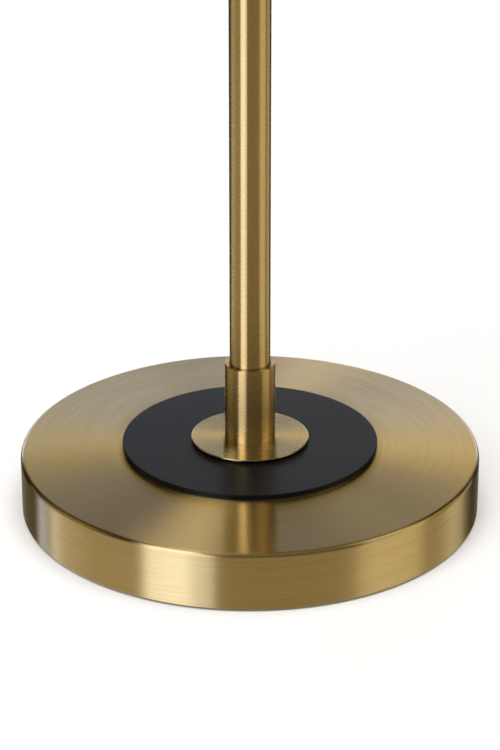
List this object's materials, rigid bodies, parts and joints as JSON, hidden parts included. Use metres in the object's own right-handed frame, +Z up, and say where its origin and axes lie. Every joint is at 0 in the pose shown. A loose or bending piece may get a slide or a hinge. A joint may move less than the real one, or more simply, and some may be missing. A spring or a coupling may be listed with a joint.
{
  "type": "arc floor lamp",
  "caption": "Floor lamp with a heavy round brass base, black disc, upright pole, arched swivelling arm and a black dome shade on a tilting knuckle.",
  "frame": {"origin": "on the floor, at the centre of the base's felt pad and on the pole's axis", "axes": "+Z up the pole, +X from the pole towards the shade at rest, +Y towards the mains inlet"},
  "size_m": [0.7725, 0.3, 1.6908],
  "materials": {
    "brushed_brass": "brushed",
    "black_satin": "satin",
    "ballast_iron": "as cast",
    "zinc_steel": "zinc plated",
    "dark_screw": "black oxide",
    "felt": "felt",
    "black_nylon": "matt",
    "black_phenolic": "moulded",
    "white_moulding": "matt",
    "flex_sheath": "matt",
    "contact_brass": "bright",
    "frosted_glass": "frosted",
    "cap_aluminium": "bright"
  },
  "bodies": {
    "stand": {"base_shell": "brushed_brass", "base_weight": "ballast_iron", "base_plate": "zinc_steel", "base_plate_screws": "zinc_steel", "base_pad": "felt", "accent_disc": "black_satin", "pole_flange": "brushed_brass", "base_collar": "brushed_brass", "base_collar_screw": "dark_screw", "tie_stud": "zinc_steel", "spread_washer": "zinc_steel", "tie_lock_washer": "zinc_steel", "tie_locknut": "zinc_steel", "pole_foot_plug": "zinc_steel", "pole_lower": "brushed_brass", "pole_joint_socket": "zinc_steel", "pole_joint_spigot": "zinc_steel", "pole_upper": "brushed_brass", "swivel_housing": "zinc_steel", "swivel_bush": "black_nylon", "swivel_stop_screw": "dark_screw", "top_collar": "brushed_brass", "top_collar_screw": "dark_screw", "inlet_bushing": "black_nylon", "terminal_block": "white_moulding", "stand_flex": "flex_sheath"},
    "arm": {"arm_spindle": "zinc_steel", "swivel_wave_washer": "zinc_steel", "swivel_thrust_washer": "zinc_steel", "swivel_circlip": "dark_screw", "arm_stop_pin": "dark_screw", "arc_arm": "brushed_brass", "knuckle_fork": "brushed_brass", "pivot_bolt": "brushed_brass", "friction_washers": "black_nylon", "arm_flex": "flex_sheath"},
    "tilt_knob": {"tilt_knob": "brushed_brass"},
    "head": {"knuckle_tongue": "brushed_brass", "holder_cup": "brushed_brass", "cup_nut": "zinc_steel", "switch_body": "black_nylon", "switch_nut": "brushed_brass", "lampholder_body": "black_phenolic", "contact_block": "white_moulding", "terminal_screws": "contact_brass", "screw_shell": "contact_brass", "centre_contact": "contact_brass", "shade": "black_satin", "shade_ring": "black_phenolic", "head_flex": "flex_sheath", "bulb_glass": "frosted_glass", "bulb_cap": "cap_aluminium", "bulb_insulator": "black_phenolic", "bulb_contact": "cap_aluminium"},
    "switch_knob": {"switch_knob": "brushed_brass"}
  },
  "joints": [
    {"name": "arm_swivel", "type": "hinge", "parent": "stand", "child": "arm", "pos_m": [0, 0, 1.3469], "axis": [0, 0, 1], "range_deg": [-155, 155]},
    {"name": "head_tilt", "type": "hinge", "parent": "arm", "child": "head", "pos_m": [0.48, 0, 1.3949], "axis": [0, -1, 0], "range_deg": [-80, 80]},
    {"name": "tilt_knob_turn", "type": "hinge", "parent": "arm", "child": "tilt_knob", "pos_m": [0.48, 0, 1.3949], "axis": [0, -1, 0], "range_deg": [0, 360]},
    {"name": "switch_turn", "type": "hinge", "parent": "head", "child": "switch_knob", "pos_m": [0.48, 0, 1.3469], "axis": [1, 0, 0], "continuous": true}
  ]
}
